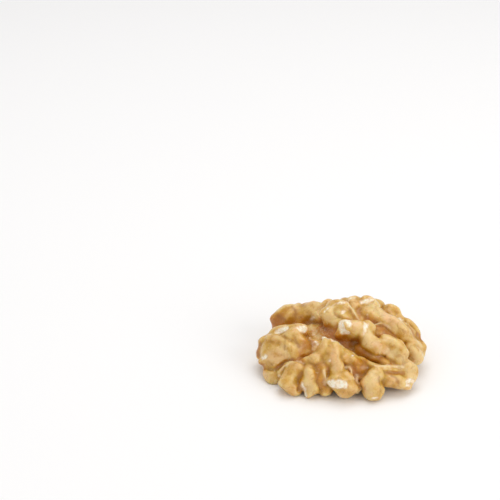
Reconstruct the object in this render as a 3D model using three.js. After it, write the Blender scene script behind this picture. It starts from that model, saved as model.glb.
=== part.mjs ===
// Half of a walnut kernel, shelled and lying on its open side, in millimetres with +Z up.
// One seed half grew as one piece: two lobes side by side, joined along the middle, each folded into
// rounded ridges like a brain. The front lobe faces -Y and ends in a row of knobs, the rear lobe
// faces +Y, and the middle valley between them runs along X.
import * as THREE from "three";

// Driving dimensions
const CORE = { x: 13.4, y: 9.2, top: 6.4, base: 2.2 }; // the dome under the ridges: half-lengths, height
const FLOOR_OF_CORE = 1.2; // the dome's underside, before it is hollowed
const WORN = 0.3; // the lowest knobs are flattened to this height, which is then set at Z = 0
const BLEND = 0.55; // how softly one ridge runs into the next
const CREASE_BLEND = 0.6; // how softly a crease's edges are rounded
const HOLLOW_BLEND = 1.0; // how softly a hollow's edges are rounded
const STEP = 0.85; // spacing of the surface's grid
const GRID_LOW = [-18.3, -14.9, -1.6]; // the grid's corners, clear of the kernel all round
const GRID_HIGH = [18.1, 15.1, 15.2];
const SETTLING_ROUNDS = 5; // how often the surface's triangles are evened out
const LINK = 0.9; // length of the links that a ridge's curve is cut into

// Growth bends every ridge a little: a slow sway and a finer ripple, by this much along each axis.
const SWAY = { x: 0.32, y: 0.32, z: 0.22 };
const RIPPLE = { x: 0.12, y: 0.12, z: 0.1 };

// A ridge is a fold, so it runs on inwards to its root: towards this share of its own X and Y, at this
// height. The roots are the share of its inward distance that still counts.
const HEART = { x: 0.55, y: 0.25, z: 1.5 };
const LOW_ROOT = 0.75;
const HIGH_ROOT = 0.35;
const LOW = 3; // heights between which the one root changes to the other
const HIGH = 7;

// Ridges: each is a chain of [x, y, z, radius] along the middle of the fold.
const FRONT_LOBE = {
  knob1: [[-9.2, -8.0, 4.2, 1.9], [-9.8, -8.6, 3.4, 2.3], [-9.9, -8.9, 2.2, 2.3]],
  knob2: [[-6.8, -8.7, 4.8, 1.4], [-6.6, -9.9, 3.7, 1.7], [-6.5, -10.4, 1.9, 1.7]],
  knob3: [[-4.1, -10.4, 2.4, 1.1], [-4.0, -10.4, 1.5, 1.25]],
  knob4: [[-1.2, -10.9, 4.0, 2.1], [-0.5, -11.1, 3.4, 2.4], [0.3, -10.8, 2.8, 2.1]],
  neck: [[-1.9, -9.9, 5.2, 1.45], [-1.9, -8.6, 6.7, 1.3], [-1.5, -7.3, 7.6, 1.3], [-2.0, -6.3, 8.4, 1.1]],
  knob5: [[5.3, -10.1, 4.7, 1.6], [5.3, -10.7, 3.7, 2.0], [5.1, -10.9, 2.8, 2.1], [4.8, -11.0, 1.9, 2.0]],
  knob6: [[7.6, -9.6, 3.3, 1.5], [9.6, -9.4, 2.9, 1.65], [11.1, -8.9, 2.6, 1.5], [12.2, -8.0, 2.5, 1.4]],
  corner: [[11.8, -6.9, 4.7, 1.3], [12.4, -7.0, 3.5, 1.4], [12.2, -7.6, 2.6, 1.4]],
  lip: [[5.2, -8.9, 5.6, 0.7], [7.1, -8.7, 5.2, 0.6], [9.6, -8.1, 4.8, 0.6], [12.1, -7.4, 4.5, 0.8]],
  lipFloor: [[6.7, -8.6, 4.4, 1.3], [9.5, -7.9, 3.8, 1.4], [11.7, -7.4, 3.5, 1.3]],
  peak: [[-3.7, -4.3, 9.2, 0.6], [-3.7, -5.4, 8.6, 1.1], [-4.1, -6.7, 7.5, 1.6], [-5.1, -7.8, 6.5, 1.6]],
  valleyEdge: [[-3.3, -4.9, 8.9, 0.6], [-2.3, -5.6, 8.5, 0.7], [-0.6, -6.5, 8.0, 0.7],
    [1.4, -7.5, 7.4, 0.6], [3.4, -8.0, 6.5, 0.6], [5.2, -8.9, 5.6, 0.6]],
  apron: [[-2.9, -5.6, 8.3, 0.9], [-3.0, -6.7, 7.7, 1.2], [-3.2, -7.9, 6.7, 1.3],
    [-3.4, -8.7, 5.5, 1.3]],
  frontSlope: [[-2.3, -6.3, 7.6, 1.1], [-0.1, -7.2, 6.9, 1.2], [1.6, -7.7, 6.4, 1.1]],
  bump: [[2.1, -8.2, 6.6, 1.1], [2.7, -8.3, 5.5, 1.4]],
  bowlFloor: [[0.6, -7.7, 4.6, 1.7], [2.1, -8.3, 3.4, 1.7], [4.1, -8.2, 4.4, 1.3]],
  grooveFloor: [[-4.5, -8.7, 5.2, 1.6], [-4.1, -9.4, 3.9, 1.6], [-3.5, -9.7, 2.5, 1.4]],
};
const LEFT_WING = {
  rim: [[-15.3, -0.5, 3.3, 1.5], [-14.9, 0.5, 4.3, 1.5], [-13.5, 0.9, 6.0, 1.5], [-11.7, 0.8, 7.4, 1.3],
    [-9.9, 0.2, 8.2, 1.2], [-7.9, -0.7, 8.7, 1.2]],
  fold1: [[-14.1, -1.5, 3.9, 1.9], [-12.0, -3.4, 4.3, 2], [-9.1, -5.3, 5.4, 1.4]],
  fold2: [[-12.6, -0.4, 5.9, 2.1], [-10.9, -2.5, 6.1, 2.2], [-9.0, -4.4, 6.1, 1.5]],
  fold3: [[-9.4, -1.2, 7.6, 1.9], [-8.4, -2.8, 7.0, 1.8], [-7.8, -4.4, 6.2, 1.6]],
  face: [[-11.6, -2.0, 6.1, 2.0], [-10.0, -3.3, 6.0, 2.1], [-8.6, -4.9, 5.4, 1.7]],
  hem: [[-14.4, -3.0, 3.0, 1.4], [-12.6, -4.1, 3.7, 1.5], [-10.4, -5.3, 4.6, 1.3]],
  root: [[-11.6, -6.1, 3.3, 1.3], [-10.2, -6.5, 4.1, 1.4], [-8.9, -6.7, 4.6, 1.3],
    [-7.6, -7.0, 5.1, 1.2], [-6.3, -7.4, 5.8, 1.3]],
  foot: [[-14.1, -4.7, 2.0, 1.55], [-13.1, -5.6, 1.4, 1.6]],
};
const REAR_LOBE = {
  sinuous: [[0.3, -3.0, 10.7, 1.75], [2.0, -3.3, 10.8, 1.6], [3.7, -3.3, 10.6, 1.65],
    [4.4, -4.1, 9.9, 1.75], [4.9, -5.4, 9.0, 1.8], [6.5, -5.7, 8.3, 1.65], [8.1, -5.0, 8.2, 1.7],
    [9.4, -5.2, 7.3, 2], [10.5, -6.1, 5.9, 1.9]],
  crest: [[-2.3, 1.6, 10.5, 1.9], [-1.9, 2.8, 11.1, 1.9], [-0.4, 2.6, 11.3, 1.9], [0.2, 0.7, 10.9, 1.6]],
  crestFoot: [[-1.9, 0.6, 9.8, 1.5], [-0.9, -0.9, 9.9, 1.4]],
  crown: [[2.0, 4.4, 11.9, 1.5], [2.2, 2.9, 11.2, 1.6], [2.3, 1.1, 10.4, 1.4]],
  crownFloor: [[3.2, 4.2, 11.4, 1.2], [3.3, 2.2, 10.9, 1.2], [3.2, 0.2, 10.0, 1.2]],
  shoulder: [[4.8, 4.0, 10.9, 2.2], [5.3, 1.5, 10.4, 2.3], [7.5, 0.8, 9.8, 2.1], [9.5, -0.2, 8.8, 2.1],
    [11.2, -0.7, 7.4, 2], [12.6, -0.6, 6.0, 1.9]],
  rimWeb: [[11.2, 2.0, 7.8, 1.6], [12.6, 1.0, 6.6, 1.7], [13.2, -0.2, 5.2, 1.8]],
  shoulderBack: [[9.3, 5.5, 9.0, 1.7], [10.8, 4.4, 8.2, 1.6]],
  rightRim: [[12.4, 4.0, 6.8, 1.7], [13.6, 2.4, 5.6, 1.6], [14.3, 0.9, 4.5, 1.7], [14.0, -0.8, 3.2, 1.8]],
  leftArch1: [[-12.1, 7.0, 5.0, 1.6], [-11.9, 7.2, 6.2, 1.7], [-10.4, 8.0, 7.4, 1.9],
    [-8.9, 7.6, 8.0, 1.7]],
  leftArch2: [[-6.7, 6.5, 8.0, 1.6], [-6.0, 6.7, 8.8, 1.8], [-4.9, 5.9, 9.0, 1.7], [-4.1, 4.6, 8.6, 1.3]],
  leftArchWeb: [[-8.9, 7.3, 7.8, 1.5], [-7.7, 6.9, 8.1, 1.5], [-6.6, 6.5, 8.2, 1.5]],
  leftArchFoot: [[-11.1, 7.2, 4.6, 1.8], [-9.4, 7.5, 5.8, 1.7], [-7.6, 6.5, 6.4, 1.5],
    [-5.8, 6.0, 7.2, 1.6]],
  flap: [[-3.6, 6.6, 9.8, 0.7], [-3.0, 6.9, 10.5, 0.65], [-2.3, 6.4, 10.6, 0.6]],
  pocketFloor: [[5.6, -1.6, 9.1, 1.1], [7.4, -1.7, 8.5, 1.2], [9.3, -2.2, 7.6, 1.2]],
  valleyFloor: [[2.9, -4.8, 6.8, 1.3], [5.3, -6.2, 6.2, 1.3], [8.4, -7.0, 5.2, 1.3],
    [11.1, -7.1, 4.6, 1.2]],
  rear1: [[-1.5, 4.5, 10.0, 1.5], [-2.7, 7.2, 8.5, 1.8], [-1.5, 9.5, 6.5, 1.7], [-2.7, 10.8, 4.4, 2.0],
    [-2.2, 10.8, 1.9, 1.9]],
  rear2: [[2.0, 5.0, 11.2, 1.6], [3.0, 7.4, 9.5, 1.7], [1.3, 9.5, 7.6, 1.9], [2.6, 11.1, 5.2, 1.6],
    [1.9, 11.5, 3.5, 1.9], [2.6, 11.3, 2.2, 1.9]],
  rear3: [[5.2, 5.5, 10.0, 1.8], [6.8, 7.9, 8.2, 1.9], [5.2, 9.9, 5.9, 1.6], [6.8, 10.9, 3.7, 1.8],
    [6.3, 10.5, 2.5, 1.8]],
  rear4: [[9.3, 5.4, 8.4, 1.8], [10.3, 7.3, 6.6, 1.8], [8.9, 9.0, 4.7, 1.7], [9.9, 8.9, 2.0, 1.8]],
  rear5: [[11.1, 4.8, 7.4, 1.7], [12.8, 5.9, 5.0, 1.6], [12.0, 6.5, 3.2, 1.7], [12.5, 6.2, 2.2, 1.7]],
  rear6: [[-5.8, 6.5, 8.8, 1.7], [-7.0, 8.8, 6.8, 1.7], [-5.6, 10.2, 4.8, 1.8], [-6.6, 10.1, 2.2, 1.8]],
  rear7: [[-9.9, 8.1, 7.0, 1.6], [-11.0, 8.8, 5.2, 1.6], [-9.8, 9.4, 3.6, 1.7], [-10.3, 9.1, 2.4, 1.6]],
  rearLink1: [[-1.7, 9.0, 7.3, 1.3], [0.0, 9.9, 6.4, 1.0], [1.9, 10.6, 5.9, 1.2]],
  rearLink2: [[3.0, 7.6, 9.0, 1.3], [4.7, 8.1, 8.6, 1.0], [6.5, 8.2, 7.8, 1.3]],
  rearLink3: [[6.8, 10.5, 4.4, 1.2], [8.0, 10.1, 3.6, 0.9], [9.2, 9.5, 3.2, 1.2]],
  rearLink4: [[-6.0, 10.2, 4.2, 1.2], [-4.4, 10.8, 3.4, 0.9], [-2.8, 11.0, 3.2, 1.2]],
};
const UNDERSIDE = {
  bridge: [[-7.4, -1.4, 3.0, 1.7], [-2.6, -0.6, 2.9, 1.9], [2.4, -1.4, 2.8, 2.0], [8.0, -2.2, 3.2, 1.7]],
  frontRoot1: [[-8.6, -3.4, 3.2, 1.3], [-8.8, -6.0, 2.8, 1.5], [-7.4, -8.4, 2.6, 1.5]],
  frontRoot2: [[1.6, -3.2, 3.2, 1.4], [2.2, -6.2, 3.0, 1.5], [3.6, -8.6, 2.6, 1.5]],
  rearRoot1: [[-6.2, 2.4, 3.4, 1.5], [-6.0, 5.6, 3.6, 1.6], [-6.2, 8.4, 2.8, 1.5]],
  rearRoot2: [[-1.0, 4.0, 4.0, 1.5], [-1.2, 7.0, 3.8, 1.8], [-1.9, 9.4, 3.0, 1.6]],
  rearRoot3: [[4.6, 2.2, 3.4, 1.5], [4.2, 5.6, 3.6, 1.7], [5.8, 8.8, 3.0, 1.6]],
  rearRoot4: [[8.8, 1.0, 3.4, 1.4], [10.0, 3.8, 3.2, 1.6], [10.0, 6.8, 2.8, 1.5]],
};
// Hollows cut into the dome before the ridges are laid on it.
const HOLLOWS = {
  valley: [[-15.0, 2.0, 5.0, 1.6], [-9.0, 2.4, 8.4, 1.6], [-4.6, -1.5, 9.4, 1.8], [-2.0, -4.8, 8.8, 1.4],
    [2.5, -6.0, 7.6, 1.3], [8.0, -6.8, 6.6, 1.1], [14.0, -4.6, 4.6, 1.2]],
  underFront: [[-10.0, -4.6, 1.0, 2.2], [-4.0, -6.0, 1.2, 2.8], [3.0, -6.0, 1.2, 2.8], [9.5, -4.8, 1.0, 2.2]],
  underRear: [[-9.0, 4.2, 1.2, 2.6], [-3.0, 5.6, 1.6, 3.4], [3.0, 5.6, 1.6, 3.4], [9.5, 3.6, 1.2, 2.8]],
};

// Creases cut into the ridges once they are laid on.
const CREASES = {
  wingHem: [[-15.7, -4.9, 3.0, 0.4], [-13.3, -5.7, 3.6, 0.4], [-11.1, -6.4, 4.8, 0.35],
    [-9.0, -7.2, 6.0, 0.35]],
  rimSeam: [[11.5, -3.1, 7.2, 0.4], [12.2, -4.8, 5.6, 0.5], [13.2, -5.3, 4.2, 0.5]],
};

// A chain's smooth curve, cut into short tapered links.
function links(chain) {
  const curve = new THREE.CatmullRomCurve3(chain.map(([x, y, z]) => new THREE.Vector3(x, y, z)));
  const steps = Math.max(2, Math.ceil(curve.getLength() / LINK));
  const found = [];
  for (let i = 0; i <= steps; i++) {
    const t = i / steps;
    const along = t * (chain.length - 1);
    const first = Math.min(Math.floor(along), chain.length - 2);
    const radius = THREE.MathUtils.lerp(chain[first][3], chain[first + 1][3], along - first);
    const point = curve.getPoint(t);
    const inward = new THREE.Vector3(HEART.x * point.x, HEART.y * point.y, HEART.z).sub(point).normalize();
    const reach = THREE.MathUtils.mapLinear(
      THREE.MathUtils.clamp(point.z, LOW, HIGH), LOW, HIGH, LOW_ROOT, HIGH_ROOT);
    found.push({ point, radius, inward, reach });
  }
  return found;
}

// Signed distance from a place to a chain: below zero inside it. A rooted chain runs on inwards.
function chainDistance(chain, x, y, z, rooted) {
  let nearest = Infinity;
  for (let i = 1; i < chain.length; i++) {
    const a = chain[i - 1];
    const b = chain[i];
    const dx = b.point.x - a.point.x;
    const dy = b.point.y - a.point.y;
    const dz = b.point.z - a.point.z;
    const px = x - a.point.x;
    const py = y - a.point.y;
    const pz = z - a.point.z;
    const share = (px * dx + py * dy + pz * dz) / (dx * dx + dy * dy + dz * dz);
    const t = Math.min(1, Math.max(0, share));
    let ox = px - t * dx;
    let oy = py - t * dy;
    let oz = pz - t * dz;
    const n = a.inward;
    const deep = (ox * n.x + oy * n.y + oz * n.z) * (1 - a.reach);
    if (rooted && deep > 0) {
      ox -= deep * n.x;
      oy -= deep * n.y;
      oz -= deep * n.z;
    }
    const away = Math.hypot(ox, oy, oz);
    nearest = Math.min(nearest, away - a.radius - t * (b.radius - a.radius));
  }
  return nearest;
}

function smoothMin(a, b, softness) {
  const h = Math.max(softness - Math.abs(a - b), 0) / softness;
  return Math.min(a, b) - (h * h * softness) / 4;
}

function smoothMax(a, b, softness) {
  return -smoothMin(-a, -b, softness);
}

const linksOf = (table) => Object.values(table).map((chain) => links(chain));
const ridges = [FRONT_LOBE, LEFT_WING, REAR_LOBE, UNDERSIDE].flatMap(linksOf);
const hollows = linksOf(HOLLOWS);
const creases = linksOf(CREASES);

function coreDistance(x, y, z) {
  const ex = x / CORE.x;
  const ey = y / CORE.y;
  const ez = (z - CORE.base) / CORE.top;
  const k = Math.hypot(ex, ey, ez);
  const slope = Math.hypot(ex / CORE.x, ey / CORE.y, ez / CORE.top);
  const dome = (k * (k - 1)) / Math.max(slope, Number.EPSILON);
  return smoothMax(dome, FLOOR_OF_CORE - z, HOLLOW_BLEND);
}

// Where a place was before growth bent it.
function unbent(x, y, z) {
  return [
    x + SWAY.x * Math.sin(0.86 * y + 1.1 * z + 0.4) + RIPPLE.x * Math.sin(2.1 * z + 1.7 * y),
    y + SWAY.y * Math.sin(0.93 * z + 0.8 * x + 2.1) + RIPPLE.y * Math.sin(2.3 * x - 1.5 * z),
    z + SWAY.z * Math.sin(0.9 * x + 1.0 * y + 1.2) + RIPPLE.z * Math.sin(2.0 * y + 1.8 * x),
  ];
}

// The kernel's field: below zero inside.
function field(...place) {
  const [x, y, z] = unbent(...place);
  let d = coreDistance(x, y, z);
  for (const hollow of hollows) d = smoothMax(d, -chainDistance(hollow, x, y, z, false), HOLLOW_BLEND);
  for (const ridge of ridges) d = smoothMin(d, chainDistance(ridge, x, y, z, true), BLEND);
  for (const crease of creases) d = smoothMax(d, -chainDistance(crease, x, y, z, false), CREASE_BLEND);
  return d;
}

// A grid of the field's values over a box.
function gridOf(distance, low, high, step) {
  const count = [0, 1, 2].map((k) => Math.ceil((high[k] - low[k]) / step) + 1);
  const stride = [1, count[0], count[0] * count[1]];
  const value = new Float64Array(count[0] * count[1] * count[2]);
  for (let k = 0; k < count[2]; k++)
    for (let j = 0; j < count[1]; j++)
      for (let i = 0; i < count[0]; i++)
        value[i + j * stride[1] + k * stride[2]] =
          distance(low[0] + i * step, low[1] + j * step, low[2] + k * step);
  return { low, step, count, stride, value };
}

// Turns over every value on the seed's side of the surface that isn't joined to the seed: a bubble
// between ridges is filled that way, and a loose crumb is dropped.
function keepJoined({ count, stride, value }, seed) {
  const inside = value[seed] < 0;
  const reached = new Uint8Array(value.length);
  reached[seed] = 1;
  const open = [seed];
  while (open.length > 0) {
    const at = open.pop();
    for (let axis = 0; axis < 3; axis++) {
      const place = Math.floor(at / stride[axis]) % count[axis];
      for (const way of [-1, 1]) {
        if (place + way < 0 || place + way >= count[axis]) continue;
        const next = at + way * stride[axis];
        if (reached[next] || value[next] < 0 !== inside) continue;
        reached[next] = 1;
        open.push(next);
      }
    }
  }
  value.forEach((v, n) => {
    if (v < 0 === inside && !reached[n]) value[n] = -v;
  });
}

// The 12 edges of a grid cell, by corner number: bit 0 is X, bit 1 is Y, bit 2 is Z.
const CORNERS = [0, 1, 2, 3, 4, 5, 6, 7];
const CELL_EDGES = [0, 1, 2].flatMap((axis) =>
  CORNERS.filter((c) => !((c >> axis) & 1)).map((c) => ({ from: c, to: c | (1 << axis), axis })));

// For one pattern of inside corners: which sheet of the surface each crossed edge belongs to.
function sheetsOf(mask) {
  const inside = (c) => (mask >> c) & 1;
  const sheet = CELL_EDGES.map((e, i) => (inside(e.from) !== inside(e.to) ? i : -1));
  const join = (i, j) => {
    const [keep, drop] = [sheet[i], sheet[j]];
    sheet.forEach((s, n) => { if (s === drop) sheet[n] = keep; });
  };
  for (let axis = 0; axis < 3; axis++) {
    for (const side of [0, 1]) {
      const onFace = (c) => ((c >> axis) & 1) === side;
      const crossed = CELL_EDGES.map((e, i) => i).filter((i) =>
        sheet[i] >= 0 && onFace(CELL_EDGES[i].from) && onFace(CELL_EDGES[i].to));
      if (crossed.length === 2) join(crossed[0], crossed[1]);
      if (crossed.length < 4) continue;
      for (let c = 0; c < 8; c++) {
        if (!onFace(c) || !inside(c)) continue;
        const [i, j] = crossed.filter((n) => CELL_EDGES[n].from === c || CELL_EDGES[n].to === c);
        join(i, j);
      }
    }
  }
  return sheet;
}
const SHEETS = Array.from({ length: 256 }, (_, mask) => sheetsOf(mask));

// A closed triangle mesh of the place where the grid's values change sign: one vertex for each sheet
// of the surface in each cell, and two triangles round each crossed edge.
function surfaceOf({ low, step, count, stride, value }) {
  const cornerShift = Array.from({ length: 8 }, (_, c) =>
    (c & 1) * stride[0] + ((c >> 1) & 1) * stride[1] + (c >> 2) * stride[2]);
  const points = [];
  const vertexOf = new Map(); // cell * 12 + edge -> vertex
  for (let k = 0; k < count[2] - 1; k++)
    for (let j = 0; j < count[1] - 1; j++)
      for (let i = 0; i < count[0] - 1; i++) {
        const cell = i + j * stride[1] + k * stride[2];
        let mask = 0;
        for (let c = 0; c < 8; c++) if (value[cell + cornerShift[c]] < 0) mask |= 1 << c;
        const sheets = SHEETS[mask];
        for (const s of new Set(sheets.filter((n) => n >= 0))) {
          const mean = [0, 0, 0];
          let edges = 0;
          CELL_EDGES.forEach((e, n) => {
            if (sheets[n] !== s) return;
            const a = value[cell + cornerShift[e.from]];
            const b = value[cell + cornerShift[e.to]];
            for (let axis = 0; axis < 3; axis++) {
              const corner = (e.from >> axis) & 1;
              mean[axis] += corner + (axis === e.axis ? a / (a - b) : 0);
            }
            edges++;
            vertexOf.set(cell * 12 + n, points.length / 3);
          });
          points.push(...[i, j, k].map((n, axis) => low[axis] + (n + mean[axis] / edges) * step));
        }
      }
  const triangles = [];
  for (let k = 1; k < count[2] - 1; k++)
    for (let j = 1; j < count[1] - 1; j++)
      for (let i = 1; i < count[0] - 1; i++)
        for (let axis = 0; axis < 3; axis++) {
          const at = i + j * stride[1] + k * stride[2];
          const starts = value[at] < 0;
          if (starts === value[at + stride[axis]] < 0) continue;
          const u = (axis + 1) % 3;
          const v = (axis + 2) % 3;
          const quad = [[0, 0], [1, 0], [1, 1], [0, 1]].map(([du, dv]) => {
            const cell = at - du * stride[u] - dv * stride[v];
            const from = (du << u) | (dv << v);
            return vertexOf.get(cell * 12 + CELL_EDGES.findIndex((e) => e.axis === axis && e.from === from));
          });
          if (!starts) quad.reverse();
          const gap = (m, n) => Math.hypot(...[0, 1, 2].map((d) => points[3 * m + d] - points[3 * n + d]));
          const [a, b, c, d] = quad;
          if (gap(a, c) < gap(b, d)) triangles.push(a, b, c, a, c, d);
          else triangles.push(a, b, d, b, c, d);
        }
  return { points: Float64Array.from(points), triangles };
}

// Evens out the triangles and pulls each vertex back onto the true surface. The last round only evens.
function settle({ points, triangles }, distance, rounds) {
  const near = Array.from({ length: points.length / 3 }, () => new Set());
  for (let t = 0; t < triangles.length; t += 3)
    for (let n = 0; n < 3; n++) {
      near[triangles[t + n]].add(triangles[t + ((n + 1) % 3)]);
      near[triangles[t + ((n + 1) % 3)]].add(triangles[t + n]);
    }
  const PROBE = 0.02; // how far apart the field is read for its slope
  const FLATTEST = 0.6; // the least squared slope that a pull trusts, because it is low in a sharp groove
  const LONGEST_PULL = 0.3;
  for (let round = 0; round < rounds; round++) {
    const before = points.slice();
    for (let v = 0; v < near.length; v++) {
      const mean = new THREE.Vector3();
      for (const n of near[v]) mean.add(new THREE.Vector3().fromArray(before, 3 * n));
      mean.divideScalar(near[v].size);
      const here = new THREE.Vector3().fromArray(before, 3 * v);
      here.lerp(mean, 0.5);
      for (let pull = 0; pull < (round < rounds - 1 ? 2 : 0); pull++) {
        const d = distance(here.x, here.y, here.z);
        const slope = new THREE.Vector3(
          distance(here.x + PROBE, here.y, here.z) - distance(here.x - PROBE, here.y, here.z),
          distance(here.x, here.y + PROBE, here.z) - distance(here.x, here.y - PROBE, here.z),
          distance(here.x, here.y, here.z + PROBE) - distance(here.x, here.y, here.z - PROBE),
        ).divideScalar(2 * PROBE);
        if (slope.lengthSq() < FLATTEST) break;
        const share = THREE.MathUtils.clamp(d / slope.lengthSq(), -LONGEST_PULL, LONGEST_PULL);
        here.addScaledVector(slope, -share);
      }
      points.set(here.toArray(), 3 * v);
    }
  }
}

const grid = gridOf(field, GRID_LOW, GRID_HIGH, STEP);
keepJoined(grid, 0);
keepJoined(grid, grid.value.indexOf(Math.min(...grid.value)));
const mesh = surfaceOf(grid);
settle(mesh, field, SETTLING_ROUNDS);

// The knobs that it lies on are pressed flat, and the origin is set under the middle of the kernel.
const geometry = new THREE.BufferGeometry();
for (let z = 2; z < mesh.points.length; z += 3) mesh.points[z] = Math.max(mesh.points[z], WORN);
geometry.setAttribute("position", new THREE.BufferAttribute(Float32Array.from(mesh.points), 3));
geometry.setIndex(mesh.triangles);
geometry.computeBoundingBox();
const middle = geometry.boundingBox.getCenter(new THREE.Vector3());
geometry.translate(-middle.x, -middle.y, -WORN);
geometry.computeVertexNormals();

const skin = new THREE.MeshStandardMaterial({ color: 0xcfa062, roughness: 0.5, metalness: 0 });
const kernel = new THREE.Mesh(geometry, skin);
kernel.name = "kernel";

const walnut = new THREE.Group();
walnut.add(kernel);
export default walnut;
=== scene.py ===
import math

import bpy
import numpy as np
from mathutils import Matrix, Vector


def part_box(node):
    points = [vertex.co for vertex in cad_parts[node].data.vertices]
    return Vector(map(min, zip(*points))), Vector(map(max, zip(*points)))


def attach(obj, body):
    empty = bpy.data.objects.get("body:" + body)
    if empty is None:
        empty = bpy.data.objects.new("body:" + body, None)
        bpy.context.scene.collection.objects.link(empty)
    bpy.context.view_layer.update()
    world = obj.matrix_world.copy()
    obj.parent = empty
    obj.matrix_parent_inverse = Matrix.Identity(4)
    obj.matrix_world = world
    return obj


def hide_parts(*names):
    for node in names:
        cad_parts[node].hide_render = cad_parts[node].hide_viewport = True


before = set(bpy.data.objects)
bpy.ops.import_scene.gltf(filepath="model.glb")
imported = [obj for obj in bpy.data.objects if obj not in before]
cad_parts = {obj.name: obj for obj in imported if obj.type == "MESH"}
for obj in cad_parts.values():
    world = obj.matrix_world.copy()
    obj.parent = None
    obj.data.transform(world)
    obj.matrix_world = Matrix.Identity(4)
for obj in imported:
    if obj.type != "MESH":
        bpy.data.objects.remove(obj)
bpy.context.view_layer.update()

# Half of a walnut kernel on a white table. Places are millimetres in the CAD model's own frame, before
# the kernel is set on the floor, with +Z up. The ridges repeat the CAD model's, and are cut crisper.
MM = 0.001

# Form
# The dome under the ridges: its half-lengths along X and Y, its height, and the level of its middle.
CORE = {"x": 13.4, "y": 9.2, "top": 6.4, "base": 2.2}
FLOOR_OF_CORE = 1.2  # the dome ends at this level
WORN = 0.3  # the lowest knobs are pressed flat at this level
BLEND = 0.3  # how softly one ridge runs into the next
CREASE_BLEND = 0.35
HOLLOW_BLEND = 1.0
FINE_BLEND = 0.12
LINK = 0.9  # longest straight stretch of a chain's curve
DOT = 0.01  # length of a chain that has only one place
STEP = 0.21  # spacing of the surface's grid
GRID_LOW = (-17.9, -14.5, -1.2)
GRID_HIGH = (17.9, 14.9, 14.9)

# Growth bends the ridges along X, Y and Z, by a broad wave and a small one each. A wave is its size, its
# pace along X, Y and Z, and its start.
GROWTH = (
    ((0.32, 0.0, 0.86, 1.1, 0.4), (0.12, 0.0, 1.7, 2.1, 0.0)),
    ((0.32, 0.8, 0.0, 0.93, 2.1), (0.12, 2.3, 0.0, -1.5, 0.0)),
    ((0.22, 0.9, 1.0, 0.0, 1.2), (0.1, 1.8, 2.0, 0.0, 0.0)),
)

# Each root runs in towards a heart, at a share of the ridge's own X and Y and at a level of its own.
# Inwards, only a share of a distance counts, so that the root is deep: it is less on ridges at the level
# HIGH than on those at LOW, and least on membranes.
HEART = (0.55, 0.25, 1.5)
LOW_ROOT, HIGH_ROOT = 0.75, 0.35
LOW, HIGH = 3, 7
MEMBRANE_ROOT = 0.12

# Ridges: each is a chain of [x, y, z, radius] along the middle of the fold.
FRONT_LOBE = {
    "knob1": [[-9.2, -8.0, 4.2, 1.9], [-9.8, -8.6, 3.4, 2.3], [-9.9, -8.9, 2.2, 2.3]],
    "knob2": [[-6.8, -8.7, 4.8, 1.4], [-6.6, -9.9, 3.7, 1.7], [-6.5, -10.4, 1.9, 1.7]],
    "knob3": [[-4.1, -10.4, 2.4, 1.1], [-4.0, -10.4, 1.5, 1.25]],
    "knob4": [[-1.2, -10.9, 4.0, 2.1], [-0.5, -11.1, 3.4, 2.4], [0.3, -10.8, 2.8, 2.1]],
    "neck": [[-1.9, -9.9, 5.2, 1.45], [-1.9, -8.6, 6.7, 1.3], [-1.5, -7.3, 7.6, 1.3],
             [-2.0, -6.3, 8.4, 1.1]],
    "knob5": [[5.3, -10.1, 4.7, 1.6], [5.3, -10.7, 3.7, 2.0], [5.1, -10.9, 2.8, 2.1],
              [4.8, -11.0, 1.9, 2.0]],
    "knob6": [[7.6, -9.6, 3.3, 1.5], [9.6, -9.4, 2.9, 1.65], [11.1, -8.9, 2.6, 1.5],
              [12.2, -8.0, 2.5, 1.4]],
    "corner": [[11.8, -6.9, 4.7, 1.3], [12.4, -7.0, 3.5, 1.4], [12.2, -7.6, 2.6, 1.4]],
    "lip": [[5.2, -8.9, 5.6, 0.7], [7.1, -8.7, 5.2, 0.6], [9.6, -8.1, 4.8, 0.6],
            [12.1, -7.4, 4.5, 0.8]],
    "lipFloor": [[6.7, -8.6, 4.4, 1.3], [9.5, -7.9, 3.8, 1.4], [11.7, -7.4, 3.5, 1.3]],
    "peak": [[-3.7, -4.3, 9.2, 0.6], [-3.7, -5.4, 8.6, 1.1], [-4.1, -6.7, 7.5, 1.6],
             [-5.1, -7.8, 6.5, 1.6]],
    "valleyEdge": [[-3.3, -4.9, 8.9, 0.6], [-2.3, -5.6, 8.5, 0.7], [-0.6, -6.5, 8.0, 0.7],
                   [1.4, -7.5, 7.4, 0.6], [3.4, -8.0, 6.5, 0.6], [5.2, -8.9, 5.6, 0.6]],
    "apron": [[-2.9, -5.6, 8.3, 0.9], [-3.0, -6.7, 7.7, 1.2], [-3.2, -7.9, 6.7, 1.3],
              [-3.4, -8.7, 5.5, 1.3]],
    "frontSlope": [[-2.3, -6.3, 7.6, 1.1], [-0.1, -7.2, 6.9, 1.2], [1.6, -7.7, 6.4, 1.1]],
    "bump": [[2.1, -8.2, 6.6, 1.1], [2.7, -8.3, 5.5, 1.4]],
    "bowlFloor": [[0.6, -7.7, 4.6, 1.7], [2.1, -8.3, 3.4, 1.7], [4.1, -8.2, 4.4, 1.3]],
    "grooveFloor": [[-4.5, -8.7, 5.2, 1.6], [-4.1, -9.4, 3.9, 1.6], [-3.5, -9.7, 2.5, 1.4]],
}
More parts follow.
